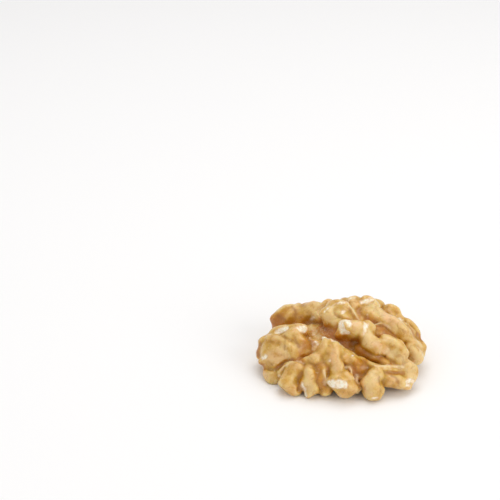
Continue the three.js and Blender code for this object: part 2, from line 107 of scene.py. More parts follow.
LEFT_WING = {
    "rim": [[-15.3, -0.5, 3.3, 1.5], [-14.9, 0.5, 4.3, 1.5], [-13.5, 0.9, 6.0, 1.5],
            [-11.7, 0.8, 7.4, 1.3], [-9.9, 0.2, 8.2, 1.2], [-7.9, -0.7, 8.7, 1.2]],
    "fold1": [[-14.1, -1.5, 3.9, 1.9], [-12.0, -3.4, 4.3, 2], [-9.1, -5.3, 5.4, 1.4]],
    "fold2": [[-12.6, -0.4, 5.9, 2.1], [-10.9, -2.5, 6.1, 2.2], [-9.0, -4.4, 6.1, 1.5]],
    "fold3": [[-9.4, -1.2, 7.6, 1.9], [-8.4, -2.8, 7.0, 1.8], [-7.8, -4.4, 6.2, 1.6]],
    "face": [[-11.6, -2.0, 6.1, 2.0], [-10.0, -3.3, 6.0, 2.1], [-8.6, -4.9, 5.4, 1.7]],
    "hem": [[-14.4, -3.0, 3.0, 1.4], [-12.6, -4.1, 3.7, 1.5], [-10.4, -5.3, 4.6, 1.3]],
    "root": [[-11.6, -6.1, 3.3, 1.3], [-10.2, -6.5, 4.1, 1.4], [-8.9, -6.7, 4.6, 1.3],
             [-7.6, -7.0, 5.1, 1.2], [-6.3, -7.4, 5.8, 1.3]],
    "foot": [[-14.1, -4.7, 2.0, 1.55], [-13.1, -5.6, 1.4, 1.6]],
}
REAR_LOBE = {
    "sinuous": [[0.3, -3.0, 10.7, 1.75], [2.0, -3.3, 10.8, 1.6], [3.7, -3.3, 10.6, 1.65],
                [4.4, -4.1, 9.9, 1.75], [4.9, -5.4, 9.0, 1.8], [6.5, -5.7, 8.3, 1.65],
                [8.1, -5.0, 8.2, 1.7], [9.4, -5.2, 7.3, 2], [10.5, -6.1, 5.9, 1.9]],
    "crest": [[-2.3, 1.6, 10.5, 1.9], [-1.9, 2.8, 11.1, 1.9], [-0.4, 2.6, 11.3, 1.9],
              [0.2, 0.7, 10.9, 1.6]],
    "crestFoot": [[-1.9, 0.6, 9.8, 1.5], [-0.9, -0.9, 9.9, 1.4]],
    "crown": [[2.0, 4.4, 11.9, 1.5], [2.2, 2.9, 11.2, 1.6], [2.3, 1.1, 10.4, 1.4]],
    "crownFloor": [[3.2, 4.2, 11.4, 1.2], [3.3, 2.2, 10.9, 1.2], [3.2, 0.2, 10.0, 1.2]],
    "shoulder": [[4.8, 4.0, 10.9, 2.2], [5.3, 1.5, 10.4, 2.3], [7.5, 0.8, 9.8, 2.1],
                 [9.5, -0.2, 8.8, 2.1], [11.2, -0.7, 7.4, 2], [12.6, -0.6, 6.0, 1.9]],
    "rimWeb": [[11.2, 2.0, 7.8, 1.6], [12.6, 1.0, 6.6, 1.7], [13.2, -0.2, 5.2, 1.8]],
    "shoulderBack": [[9.3, 5.5, 9.0, 1.7], [10.8, 4.4, 8.2, 1.6]],
    "rightRim": [[12.4, 4.0, 6.8, 1.7], [13.6, 2.4, 5.6, 1.6], [14.3, 0.9, 4.5, 1.7],
                 [14.0, -0.8, 3.2, 1.8]],
    "leftArch1": [[-12.1, 7.0, 5.0, 1.6], [-11.9, 7.2, 6.2, 1.7], [-10.4, 8.0, 7.4, 1.9],
                  [-8.9, 7.6, 8.0, 1.7]],
    "leftArch2": [[-6.7, 6.5, 8.0, 1.6], [-6.0, 6.7, 8.8, 1.8], [-4.9, 5.9, 9.0, 1.7],
                  [-4.1, 4.6, 8.6, 1.3]],
    "leftArchWeb": [[-8.9, 7.3, 7.8, 1.5], [-7.7, 6.9, 8.1, 1.5], [-6.6, 6.5, 8.2, 1.5]],
    "leftArchFoot": [[-11.1, 7.2, 4.6, 1.8], [-9.4, 7.5, 5.8, 1.7], [-7.6, 6.5, 6.4, 1.5],
                     [-5.8, 6.0, 7.2, 1.6]],
    "flap": [[-3.6, 6.6, 9.8, 0.7], [-3.0, 6.9, 10.5, 0.65], [-2.3, 6.4, 10.6, 0.6]],
    "pocketFloor": [[5.6, -1.6, 9.1, 1.1], [7.4, -1.7, 8.5, 1.2], [9.3, -2.2, 7.6, 1.2]],
    "valleyFloor": [[2.9, -4.8, 6.8, 1.3], [5.3, -6.2, 6.2, 1.3], [8.4, -7.0, 5.2, 1.3],
                    [11.1, -7.1, 4.6, 1.2]],
    "rear1": [[-1.5, 4.5, 10.0, 1.5], [-2.7, 7.2, 8.5, 1.8], [-1.5, 9.5, 6.5, 1.7],
              [-2.7, 10.8, 4.4, 2.0], [-2.2, 10.8, 1.9, 1.9]],
    "rear2": [[2.0, 5.0, 11.2, 1.6], [3.0, 7.4, 9.5, 1.7], [1.3, 9.5, 7.6, 1.9], [2.6, 11.1, 5.2, 1.6],
              [1.9, 11.5, 3.5, 1.9], [2.6, 11.3, 2.2, 1.9]],
    "rear3": [[5.2, 5.5, 10.0, 1.8], [6.8, 7.9, 8.2, 1.9], [5.2, 9.9, 5.9, 1.6], [6.8, 10.9, 3.7, 1.8],
              [6.3, 10.5, 2.5, 1.8]],
    "rear4": [[9.3, 5.4, 8.4, 1.8], [10.3, 7.3, 6.6, 1.8], [8.9, 9.0, 4.7, 1.7], [9.9, 8.9, 2.0, 1.8]],
    "rear5": [[11.1, 4.8, 7.4, 1.7], [12.8, 5.9, 5.0, 1.6], [12.0, 6.5, 3.2, 1.7],
              [12.5, 6.2, 2.2, 1.7]],
    "rear6": [[-5.8, 6.5, 8.8, 1.7], [-7.0, 8.8, 6.8, 1.7], [-5.6, 10.2, 4.8, 1.8],
              [-6.6, 10.1, 2.2, 1.8]],
    "rear7": [[-9.9, 8.1, 7.0, 1.6], [-11.0, 8.8, 5.2, 1.6], [-9.8, 9.4, 3.6, 1.7],
              [-10.3, 9.1, 2.4, 1.6]],
    "rearLink1": [[-1.7, 9.0, 7.3, 1.3], [0.0, 9.9, 6.4, 1.0], [1.9, 10.6, 5.9, 1.2]],
    "rearLink2": [[3.0, 7.6, 9.0, 1.3], [4.7, 8.1, 8.6, 1.0], [6.5, 8.2, 7.8, 1.3]],
    "rearLink3": [[6.8, 10.5, 4.4, 1.2], [8.0, 10.1, 3.6, 0.9], [9.2, 9.5, 3.2, 1.2]],
    "rearLink4": [[-6.0, 10.2, 4.2, 1.2], [-4.4, 10.8, 3.4, 0.9], [-2.8, 11.0, 3.2, 1.2]],
}
UNDERSIDE = {
    "bridge": [[-7.4, -1.4, 3.0, 1.7], [-2.6, -0.6, 2.9, 1.9], [2.4, -1.4, 2.8, 2.0],
               [8.0, -2.2, 3.2, 1.7]],
    "frontRoot1": [[-8.6, -3.4, 3.2, 1.3], [-8.8, -6.0, 2.8, 1.5], [-7.4, -8.4, 2.6, 1.5]],
    "frontRoot2": [[1.6, -3.2, 3.2, 1.4], [2.2, -6.2, 3.0, 1.5], [3.6, -8.6, 2.6, 1.5]],
    "rearRoot1": [[-6.2, 2.4, 3.4, 1.5], [-6.0, 5.6, 3.6, 1.6], [-6.2, 8.4, 2.8, 1.5]],
    "rearRoot2": [[-1.0, 4.0, 4.0, 1.5], [-1.2, 7.0, 3.8, 1.8], [-1.9, 9.4, 3.0, 1.6]],
    "rearRoot3": [[4.6, 2.2, 3.4, 1.5], [4.2, 5.6, 3.6, 1.7], [5.8, 8.8, 3.0, 1.6]],
    "rearRoot4": [[8.8, 1.0, 3.4, 1.4], [10.0, 3.8, 3.2, 1.6], [10.0, 6.8, 2.8, 1.5]],
}
# Hollows cut into the dome before the ridges are laid on it.
HOLLOWS = {
    "valley": [[-15.0, 2.0, 5.0, 1.6], [-9.0, 2.4, 8.4, 1.6], [-4.6, -1.5, 9.4, 1.8],
               [-2.0, -4.8, 8.8, 1.4], [2.5, -6.0, 7.6, 1.3], [8.0, -6.8, 6.6, 1.1],
               [14.0, -4.6, 4.6, 1.2]],
    "underFront": [[-10.0, -4.6, 1.0, 2.2], [-4.0, -6.0, 1.2, 2.8], [3.0, -6.0, 1.2, 2.8],
                   [9.5, -4.8, 1.0, 2.2]],
    "underRear": [[-9.0, 4.2, 1.2, 2.6], [-3.0, 5.6, 1.6, 3.4], [3.0, 5.6, 1.6, 3.4],
                  [9.5, 3.6, 1.2, 2.8]],
}
# Seams cut between ridges.
CREASES = {
    "wingHem": [[-15.7, -4.9, 3.0, 0.4], [-13.3, -5.7, 3.6, 0.4], [-11.1, -6.4, 4.8, 0.35],
                [-9.0, -7.2, 6.0, 0.35]],
    "rimSeam": [[11.5, -3.1, 7.2, 0.4], [12.2, -4.8, 5.6, 0.5], [13.2, -5.3, 4.2, 0.5]],
}

# Fine form, which the CAD model leaves out
# A narrow crease cut along the lip.
FINE_CREASES = {
    "lipGroove": [[7.0, -9.9, 5.3, 0.2], [9.5, -9.3, 4.7, 0.28], [11.7, -8.7, 4.4, 0.2]],
}
# Rounded fillings over the seam at the right end and over the wing's face.
FINE_RIDGES = {
    "eggFlap": [[12.5, -2.4, 6.3, 0.9], [13.5, -2.7, 5.0, 1.3], [13.9, -2.3, 3.7, 1.6]],
    "wingWeb": [[-13.8, -1.0, 4.9, 1.85], [-11.7, -3.1, 5.3, 2.05], [-9.4, -4.9, 5.8, 1.5]],
}
# Thin edges of dry skin that stand up from the ridges and cross the grooves.
MEMBRANES = {
    "crownSkin": [[0.9, 2.9, 13.1, 0.1], [1.0, 1.9, 13.0, 0.14], [1.7, 1.1, 12.2, 0.17],
                  [2.3, 0.0, 11.7, 0.16], [2.9, -0.9, 11.1, 0.12]],
    "knobSkin": [[-12.3, -6.9, 2.5, 0.14], [-11.6, -6.9, 3.9, 0.15], [-10.3, -7.5, 5.0, 0.16],
                 [-9.0, -7.6, 5.6, 0.16], [-7.9, -8.2, 6.1, 0.12]],
    "lipSkin": [[5.4, -9.3, 6.3, 0.12], [6.7, -9.3, 6.1, 0.15], [8.3, -8.7, 5.7, 0.15],
                [9.6, -8.3, 5.4, 0.14], [10.9, -8.2, 5.2, 0.1]],
    "pocketSkin": [[5.6, -1.6, 11.0, 0.1], [7.0, -0.9, 10.5, 0.13], [8.4, -1.1, 9.9, 0.13],
                   [9.8, -1.8, 9.0, 0.08]],
    "valleySkin": [[-3.3, -4.6, 9.7, 0.1], [-2.6, -5.2, 9.5, 0.14], [-1.7, -6.0, 9.1, 0.12],
                   [-0.3, -6.6, 8.7, 0.08]],
    "grooveSkin1": [[-4.2, -9.7, 5.3, 0.2], [-4.1, -10.4, 4.4, 0.25], [-4.0, -10.9, 3.4, 0.25]],
    "grooveSkin2": [[2.1, -9.9, 4.3, 0.2], [2.2, -10.8, 3.6, 0.35], [2.2, -11.3, 2.6, 0.4],
                    [2.2, -11.2, 1.5, 0.3]],
    "bowlSkin": [[-0.1, -9.1, 5.6, 0.12], [0.9, -9.3, 5.9, 0.2], [1.0, -10.4, 5.3, 0.18],
                 [1.3, -11.2, 4.6, 0.12]],
    "rearSkin1": [[-3.9, 8.9, 8.3, 0.12], [-4.3, 9.9, 6.3, 0.16], [-4.2, 10.6, 4.4, 0.14]],
    "rearSkin2": [[0.0, 9.6, 8.4, 0.12], [-0.2, 11.0, 6.0, 0.16], [-0.1, 11.8, 4.0, 0.14]],
    "rearSkin3": [[4.3, 9.4, 8.2, 0.12], [4.1, 11.2, 5.4, 0.16], [4.5, 11.6, 3.4, 0.14]],
}
# Where the skin is knocked off and the pale inside shows: chains of [x, y, z, radius] along its middle.
BARE = {
    "wingTopLeft": [[-12.6, 0.1, 8.1, 0.45], [-11.6, -0.1, 8.6, 0.6], [-10.8, -0.4, 9.1, 0.4]],
    "wingTopRight": [[-8.6, -1.1, 9.6, 0.5], [-7.9, -1.3, 9.5, 0.7], [-7.3, -1.7, 9.2, 0.5]],
    "wingLeft": [[-15.6, -3.3, 4.2, 0.35], [-14.9, -3.7, 4.6, 0.5]],
    "peakTip": [[-4.4, -5.0, 9.7, 0.5], [-3.8, -4.7, 9.8, 0.5], [-3.1, -4.9, 9.6, 0.4]],
    "peakEdge1": [[-2.5, -5.4, 9.3, 0.3], [-2.0, -5.9, 9.1, 0.22]],
    "peakEdge2": [[-1.2, -6.3, 9.0, 0.2], [-0.9, -6.5, 8.9, 0.18]],
    # A pale bare fleck in the valley that also stands in for a glint: partly a painted highlight
    "valleyGlintFleck": [[-6.0, 4.5, 8.2, 0.16], [-5.4, 4.1, 8.8, 0.26]],
    "valleyFleck1": [[-6.3, -1.6, 8.0, 0.12]],
    "valleyFleck2": [[-5.6, -3.2, 8.2, 0.2], [-5.2, -3.9, 8.3, 0.18]],
    "valleyFleck3": [[-6.4, 0.8, 8.0, 0.12]],
    "valleyFleck4": [[-4.6, -1.9, 8.6, 0.1]],
    "knobOneTip": [[-12.2, -7.2, 2.8, 0.25]],
    "knob2Side": [[-8.3, -11.3, 3.3, 0.4], [-8.1, -11.5, 2.1, 0.6], [-7.9, -11.6, 1.2, 0.5]],
    "neckSpot": [[-2.9, -9.1, 7.2, 0.22]],
    "knob4Front": [[-2.9, -11.9, 4.1, 0.8], [-1.8, -12.6, 4.3, 0.95], [-0.7, -12.8, 4.4, 0.85]],
    "sinuousEnd": [[-0.4, -3.1, 11.8, 0.8], [-0.3, -4.1, 11.0, 0.95], [0.3, -4.5, 10.6, 0.7]],
    "sinuousTop": [[0.4, -3.2, 12.4, 0.75], [0.8, -4.3, 12.1, 0.5]],
    "bendStrip": [[4.1, -3.5, 12.2, 0.45], [3.7, -4.7, 11.6, 0.4], [3.4, -5.6, 11.0, 0.25]],
    "shoulderTop": [[3.7, 3.7, 12.7, 0.55], [4.8, 3.5, 13.1, 0.6], [5.7, 3.9, 13.1, 0.45]],
    "crownEdge": [[1.1, 3.6, 13.1, 0.25], [1.6, 4.0, 13.3, 0.28], [2.5, 4.4, 13.2, 0.25]],
    "crestEdge": [[-3.6, 1.0, 11.9, 0.14], [-2.7, 1.6, 12.4, 0.18], [-1.4, 2.4, 13.1, 0.2],
                  [0.2, 2.2, 13.4, 0.32]],
    "crestSpot": [[-0.5, -0.1, 12.3, 0.3], [0.1, 0.4, 12.4, 0.25]],
    "shoulderFleck": [[11.1, 3.3, 9.1, 0.25], [11.7, 2.9, 8.7, 0.22]],
    "knob6End": [[11.5, -10.1, 3.1, 0.5], [12.2, -9.6, 3.1, 0.6], [12.8, -9.1, 2.8, 0.45]],
    "knob6Low": [[11.5, -10.4, 2.7, 0.3], [12.0, -10.0, 2.5, 0.35]],
    "knob5Low": [[5.0, -13.0, 1.7, 0.35], [5.7, -12.8, 1.6, 0.3]],
    "shoulderSpot": [[4.5, -0.1, 11.8, 0.14]],
    "bumpSpot": [[1.4, -7.8, 7.7, 0.2]],
    "rearChip1": [[-3.1, 8.3, 9.5, 0.4], [-2.4, 9.2, 8.4, 0.5]],
    "rearChip2": [[7.0, 9.3, 8.6, 0.5], [6.7, 10.2, 7.4, 0.4]],
    "rearChip3": [[10.4, 8.8, 6.8, 0.35]],
    "rightChip": [[15.2, 2.4, 5.6, 0.35], [15.6, 1.2, 4.9, 0.3]],
    "rearChip4": [[-6.4, 11.2, 5.8, 0.4]],
}
# Thin dark lines where the skin is folded or pulled tight.
LINES = {
    "wingRim": [[-16.2, 0.0, 4.9, 0.1], [-16.5, -1.2, 3.8, 0.2], [-16.2, -2.8, 3.2, 0.2],
                [-15.6, -4.2, 2.7, 0.1]],
    "archRim": [[-13.3, 7.4, 4.6, 0.12], [-13.5, 7.8, 5.9, 0.2], [-13.0, 8.2, 7.4, 0.2],
                [-11.8, 8.8, 8.6, 0.12]],
    "rightRimLine": [[12.8, 4.6, 8.0, 0.1], [14.3, 3.4, 6.8, 0.18], [15.6, 1.6, 5.2, 0.2],
                     [16.1, -0.2, 3.8, 0.1]],
    "wingFold": [[-9.6, -2.8, 8.7, 0.1], [-8.9, -3.7, 7.9, 0.16], [-8.4, -5.6, 7.1, 0.16],
                 [-8.2, -7.3, 6.4, 0.1]],
    "wingCrease": [[-11.3, -2.0, 8.4, 0.08], [-11.0, -3.4, 7.6, 0.12], [-11.2, -4.6, 6.8, 0.08]],
    "wingHemLine": [[-13.6, -5.3, 4.0, 0.1], [-11.6, -6.0, 4.6, 0.14], [-9.8, -6.7, 5.4, 0.1]],
    "archFold": [[-9.6, 7.2, 9.4, 0.08], [-9.0, 6.4, 8.6, 0.14], [-8.8, 5.6, 7.6, 0.1]],
    "archLine": [[-12.9, 7.2, 7.2, 0.08], [-11.6, 6.7, 7.4, 0.12], [-10.4, 6.2, 7.0, 0.08]],
    "rimLine1": [[12.0, 1.6, 9.0, 0.08], [13.2, 0.4, 7.8, 0.12], [14.0, -0.6, 6.6, 0.08]],
    "rimLine2": [[13.3, 2.4, 7.6, 0.08], [14.6, 1.2, 6.6, 0.14], [15.4, 0.0, 5.4, 0.1]],
    "shoulderLine": [[7.2, 2.0, 12.2, 0.08], [8.6, 1.2, 11.6, 0.12], [10.4, 0.6, 10.4, 0.08]],
    "knob6Line": [[8.6, -10.2, 4.8, 0.08], [9.6, -10.8, 4.0, 0.12], [9.9, -11.0, 3.0, 0.08]],
    "knob5Line": [[6.2, -11.4, 5.2, 0.08], [6.6, -12.0, 4.0, 0.12], [6.4, -12.4, 2.8, 0.08]],
}
# Where the skin is painted darker, and where paler: partly the skin's own darker and paler patches, partly
# painted shade in grooves, creases and hollows and painted light on faces the lamps leave dim. Chains of [x,
# y, z, radius] that fade out at the radius.
DARK = {
    "archLow": [[-12.9, 6.4, 5.4, 2.0], [-11.0, 5.4, 6.2, 2.2], [-9.0, 5.2, 6.8, 2.2],
                [-7.0, 4.8, 7.2, 1.8]],
    "archLeft": [[-13.3, 6.6, 6.2, 2.0], [-12.5, 6.6, 7.2, 1.6], [-10.8, 6.8, 8.0, 1.6]],
    "wingRight": [[-6.8, -1.5, 7.8, 1.8], [-7.1, -4.6, 7.5, 1.8], [-8.1, -6.0, 6.4, 1.5],
                  [-8.6, -7.6, 6.0, 1.1]],
    "valleyMid": [[-4.2, 0.8, 8.3, 2.2], [-2.1, -1.8, 8.8, 2.2], [-0.4, -3.9, 8.6, 2.1],
                  [2.2, -3.9, 8.2, 1.8]],
    "frontFloor": [[3.3, -5.6, 7.0, 1.9], [5.1, -6.7, 6.8, 1.8], [7.1, -7.0, 6.2, 1.6],
                   [9.4, -7.6, 5.6, 1.4]],
    "bowl": [[1.6, -9.5, 5.2, 1.6], [3.2, -9.1, 5.8, 1.7]],
    "pocketFloor": [[6.2, -1.7, 9.8, 1.1], [7.8, -1.7, 9.3, 1.2], [9.2, -1.9, 8.4, 1.0]],
    "bumpShade": [[2.4, -8.8, 6.4, 1.5], [3.5, -8.3, 6.4, 1.5]],
    "grooveB": [[-4.9, -9.6, 6.0, 1.3], [-5.1, -10.4, 4.8, 1.3], [-4.4, -11.2, 3.8, 1.3],
                [-4.1, -11.4, 2.6, 1.1]],
    "grooveA": [[-8.6, -9.2, 4.8, 0.9], [-8.6, -10.6, 3.5, 0.9], [-8.5, -10.4, 1.6, 0.9]],
    "hemShade": [[-12.6, -6.0, 4.0, 0.9], [-10.9, -6.0, 4.7, 1.0], [-9.3, -7.0, 5.7, 1.0],
                 [-8.1, -7.6, 6.3, 1.0]],
    "neckLeft": [[-3.6, -9.0, 6.2, 0.8], [-3.2, -9.8, 5.4, 0.8]],
    "rimEdge": [[13.6, 2.4, 7.0, 0.6], [14.8, 1.4, 6.4, 0.6], [15.4, 0.6, 5.6, 0.6]],
    "wingEdge": [[-16.2, -0.4, 5.0, 1.0], [-16.4, -1.1, 3.7, 1.1], [-16.1, -2.8, 3.0, 1.1],
                 [-15.3, -4.2, 2.7, 1.0]],
    "shoulderLow": [[4.5, -0.6, 11.0, 1.2], [6.4, -0.8, 10.2, 1.0]],
    "knob1Front": [[-11.6, -11.1, 5.2, 1.7], [-10.2, -11.7, 5.2, 1.7]],
    "lipShade": [[7.9, -9.8, 5.0, 0.6], [9.3, -9.5, 4.7, 0.6], [10.8, -8.9, 4.3, 0.5]],
    "rearGroove1": [[-4.3, 7.8, 7.8, 1.4], [-4.4, 9.4, 5.6, 1.6], [-4.4, 10.2, 3.0, 1.5]],
    "rearGroove2": [[-0.1, 7.8, 8.2, 1.4], [-0.4, 9.8, 5.6, 1.6], [-0.2, 10.8, 3.0, 1.5]],
    "rearGroove3": [[4.4, 7.2, 9.2, 1.3], [3.9, 9.2, 7.0, 1.5], [4.2, 10.4, 4.2, 1.5],
                    [4.4, 10.6, 2.4, 1.3]],
    "rearGroove4": [[8.1, 6.6, 8.2, 1.3], [7.8, 8.6, 6.0, 1.5], [8.0, 9.4, 3.6, 1.5]],
    "rearGroove5": [[11.1, 6.2, 6.4, 1.2], [10.9, 7.6, 4.4, 1.4], [11.2, 7.6, 2.6, 1.3]],
    "rearGroove6": [[-8.5, 8.2, 6.8, 1.3], [-8.5, 9.2, 5.0, 1.5], [-8.3, 9.6, 3.0, 1.4]],
    "shoulderLeft": [[2.9, 1.5, 12.0, 0.7], [3.0, 0.0, 11.4, 0.8]],
}
# Paler places: partly pale patches of skin, partly painted light on faces that get too little light
PALE = {
    "crestFace": [[-2.9, 0.4, 11.2, 1.2], [-1.9, -0.8, 10.9, 1.3], [-2.1, 0.8, 12.0, 1.7]],
    "kneeLow": [[6.7, -7.2, 7.8, 0.8], [8.4, -7.0, 7.6, 1.4], [10.1, -7.4, 6.6, 1.5],
                [11.0, -7.4, 5.6, 1.2]],
    "eggLeft": [[13.0, -3.0, 6.0, 1.2], [13.4, -3.4, 4.6, 1.4], [13.4, -3.2, 3.2, 1.2]],
    "valleyBed": [[-6.2, 2.8, 7.6, 1.1], [-5.2, 0.6, 7.6, 1.2], [-4.9, -1.2, 7.8, 1.3]],
    "wingLow": [[-14.1, -4.2, 5.1, 1.1], [-12.4, -5.4, 4.9, 1.1], [-10.9, -5.8, 4.7, 0.8]],
    "wingMid": [[-11.7, -4.4, 6.4, 1.4], [-10.6, -5.4, 6.1, 1.1]],
    "archTop1": [[-12.0, 7.6, 8.4, 0.8], [-10.4, 8.2, 9.3, 1.0], [-8.8, 8.0, 9.6, 0.8]],
    "archTop2": [[-6.0, 7.2, 10.4, 1.0], [-4.8, 6.1, 10.6, 1.0]],
    "sinuousPale": [[1.3, -4.1, 12.4, 0.9], [2.6, -4.4, 12.1, 0.9]],
    "bendPale": [[4.6, -6.2, 10.6, 1.6], [3.8, -6.6, 9.9, 1.4], [6.0, -7.0, 9.5, 1.0]],
    "kneePale": [[7.8, -5.4, 9.8, 1.2], [8.9, -5.9, 9.5, 1.1]],
    "neckPale": [[-2.2, -8.1, 8.6, 1.1], [-2.0, -9.4, 7.7, 1.1], [-1.6, -10.3, 6.6, 1.2]],
    "knob5Pale": [[4.9, -10.9, 5.6, 1.3], [4.3, -12.2, 4.2, 1.5], [3.9, -12.6, 2.8, 1.4]],
    "eggPale": [[15.2, -1.4, 5.6, 1.8], [15.0, -2.4, 4.5, 2.0], [14.6, -3.0, 3.2, 1.8]],
    "cornerPale": [[12.1, -7.2, 5.8, 1.1], [12.7, -7.9, 4.6, 1.3], [12.3, -8.8, 3.8, 1.1]],
    "knob2Pale": [[-7.3, -10.5, 5.6, 1.1], [-7.0, -11.8, 4.2, 1.3], [-7.1, -11.9, 2.4, 1.2]],
    "shoulderPale": [[6.1, 2.0, 12.5, 1.6], [7.5, 0.8, 11.8, 1.7], [9.1, -0.4, 11.1, 1.4],
                     [10.9, -1.4, 9.4, 1.3]],
    "smear": [[-6.9, -5.4, 6.8, 0.8], [-7.5, -7.0, 6.7, 0.7]],
    "footPale": [[-14.6, -6.0, 1.8, 0.8]],
}
# Where the skin is redder than elsewhere.
BLUSH = {
    "wingLow": [[-14.1, -4.2, 5.1, 1.8], [-12.4, -5.0, 5.4, 2.0], [-10.9, -5.4, 5.6, 1.6]],
    "neck": [[-2.2, -8.1, 8.6, 1.6], [-2.0, -9.4, 7.7, 1.6], [-1.6, -10.3, 6.6, 1.4]],
    "valley": [[-4.2, 0.8, 8.3, 2.4], [-2.1, -1.8, 8.8, 2.4], [-0.4, -3.9, 8.6, 2.2]],
    "archLeft": [[-13.3, 6.6, 6.0, 2.2], [-11.0, 5.6, 6.2, 2.0]],
    "rear": [[-2.5, 8.6, 8.4, 2.0], [2.2, 9.0, 8.4, 2.0]],
    "rearRight": [[9.8, 7.4, 7.6, 2.0], [12.4, 6.2, 5.4, 1.8]],
}
BARE_DEPTH = 0.14  # how deep the skin is knocked off
# Flat breaks: [x, y, z, way x, way y, way z, radius] of a cut that faces that way.
BREAKS = {
    "knob4Break": [-1.1, -13.0, 4.2, -0.15, -0.9, 0.42, 1.8],
    "sinuousBreak": [-0.75, -3.9, 11.2, -0.72, -0.6, 0.3, 1.5],
    "shoulderBreak": [4.7, 3.8, 12.75, -0.15, -0.35, 0.92, 1.5],
    "knob2Break": [-8.1, -11.3, 2.2, -0.85, -0.5, 0.0, 1.1],
}


# Curves and noise
FAR = 99.0  # farther than any place of the grid is from another
TINY = 1e-6  # keeps a divisor above 0
LATTICE = 32  # noise repeats after this many lumps


def curve_point(chain, t):
    """A place with its radius, t of the way along a centripetal Catmull-Rom curve through the chain."""
    last = len(chain) - 1
    first = min(int(t * last), last - 1)
    share = t * last - first
    p1, p2 = chain[first, :3], chain[first + 1, :3]
    p0 = chain[first - 1, :3] if first > 0 else 2 * p1 - p2
    p3 = chain[first + 2, :3] if first + 2 <= last else 2 * p2 - p1
    d0, d1, d2 = (float(np.linalg.norm(b - a)) ** 0.5 for a, b in ((p0, p1), (p1, p2), (p2, p3)))
    t1 = ((p1 - p0) / d0 - (p2 - p0) / (d0 + d1) + (p2 - p1) / d1) * d1
    t2 = ((p2 - p1) / d1 - (p3 - p1) / (d1 + d2) + (p3 - p2) / d2) * d1
    square = 3 * (p2 - p1) - 2 * t1 - t2
    cube = 2 * (p1 - p2) + t1 + t2
    place = p1 + t1 * share + square * share**2 + cube * share**3
    radius = chain[first, 3] + (chain[first + 1, 3] - chain[first, 3]) * share
    return [*place, radius]


def links(chain):
    """The ends of the short straight links that the chain's curve is laid in, each with its radius."""
    chain = np.array(chain, float)
    if len(chain) == 1:
        return np.array([chain[0], chain[0] + [0, 0, DOT, 0]])
    length = np.linalg.norm(np.diff(chain[:, :3], axis=0), axis=1).sum()
    steps = max(2, math.ceil(length / LINK))
    return np.array([curve_point(chain, n / steps) for n in range(steps + 1)])


def smooth_min(a, b, softness):
    h = np.maximum(softness - np.abs(a - b), 0) / softness
    return np.minimum(a, b) - h * h * softness / 4


def smooth_max(a, b, softness):
    return -smooth_min(-a, -b, softness)


def cut_out(a, b, softness):
    """Takes b out of a."""
    return smooth_max(a, -b, softness)


def eased(share):
    """From 0 to 1, and slow at both ends."""
    return share * share * (3 - 2 * share)


def lattice(seed):
    return np.random.default_rng(seed).uniform(-1, 1, (LATTICE,) * 3).astype(np.float32)


def noise(table, x, y, z, size):
    """Smooth noise from -1 to 1, whose lumps are about size across."""
    whole, part = [], []
    for c in (x, y, z):
        f = np.asarray(c, np.float32) / np.float32(size) + np.float32(2 * LATTICE)
        n = np.floor(f)
        whole.append(n.astype(np.int32))
        part.append(eased(f - n))
    total = 0
    for corner in range(8):
        bits = [(corner >> k) & 1 for k in range(3)]
        weight = 1
        for k in range(3):
            weight = weight * (part[k] if bits[k] else 1 - part[k])
        total = total + weight * table[tuple((whole[k] + bits[k]) % LATTICE for k in range(3))]
    return total


def layered(layers, x, y, z):
    """The sum of some layers of noise."""
    return sum(height * noise(table, x, y, z, size) for table, height, size in layers)


grain, lumps, wander, mottle = (lattice(seed) for seed in (11, 23, 37, 51))
# Layers of noise: the lattice of each, its height and its size.
RAGGED = ((wander, 0.2, 0.65), (mottle, 0.13, 0.33))  # how far the edge of a mark wanders
TINT_EDGE = ((wander, 0.3, 1.1),)
BREAK_FACE = ((lumps, 0.1, 0.7), (grain, 0.05, 0.35))
CHIP_FACE = ((grain, 0.045, 0.42), (lumps, 0.05, 0.8))
SOFT_WRINKLES = ((lumps, 0.065, 1.5), (wander, 0.035, 0.8))
VALLEY_CRUMBS = ((lumps, 0.2, 0.85), (grain, 0.16, 0.45))


# The grid, and where each of its places was before growth bent it
axes = [np.arange(low, high, STEP, dtype=np.float32) for low, high in zip(GRID_LOW, GRID_HIGH)]
gx, gy, gz = np.meshgrid(*axes, indexing="ij")


def before_growth(place, waves):
    for size, pace_x, pace_y, pace_z, start in waves:
        place = place + size * np.sin(pace_x * gx + pace_y * gy + pace_z * gz + start)
    return place


bent_x, bent_y, bent_z = (before_growth(place, waves) for place, waves in zip((gx, gy, gz), GROWTH))

# How far round its chains each kind of thing is looked for
MARGIN = {"hollow": 4.5, "ridge": 6.5, "crease": 2.0, "fine ridge": 3.0, "fine crease": 1.2, "membrane": 1.8,
          "break": 0.3, "chip": 1.6, "mark": 2, "tint": 0.5}
SETTLE_ROUNDS = 4
SETTLE_MOST = 0.5  # longest move in a round
PROBE = 0.2  # how far to each side the field's slope is felt
LEAST_SLOPE_SQUARED = 0.4  # where the field is flatter, this stands in
CREASE_HEIGHT, MEMBRANE_HEIGHT = 0.04, 0.1  # above the surface
CHIP_EDGE = 0.2  # width of the step round a bare place


def window(found, margin):
    """The part of the grid in a box round the chain."""
    low = (found[:, :3].min(0) - margin - GRID_LOW) / STEP
    high = (found[:, :3].max(0) + margin - GRID_LOW) / STEP
    return tuple(slice(max(0, int(a)), max(1, int(b) + 2)) for a, b in zip(low, high))


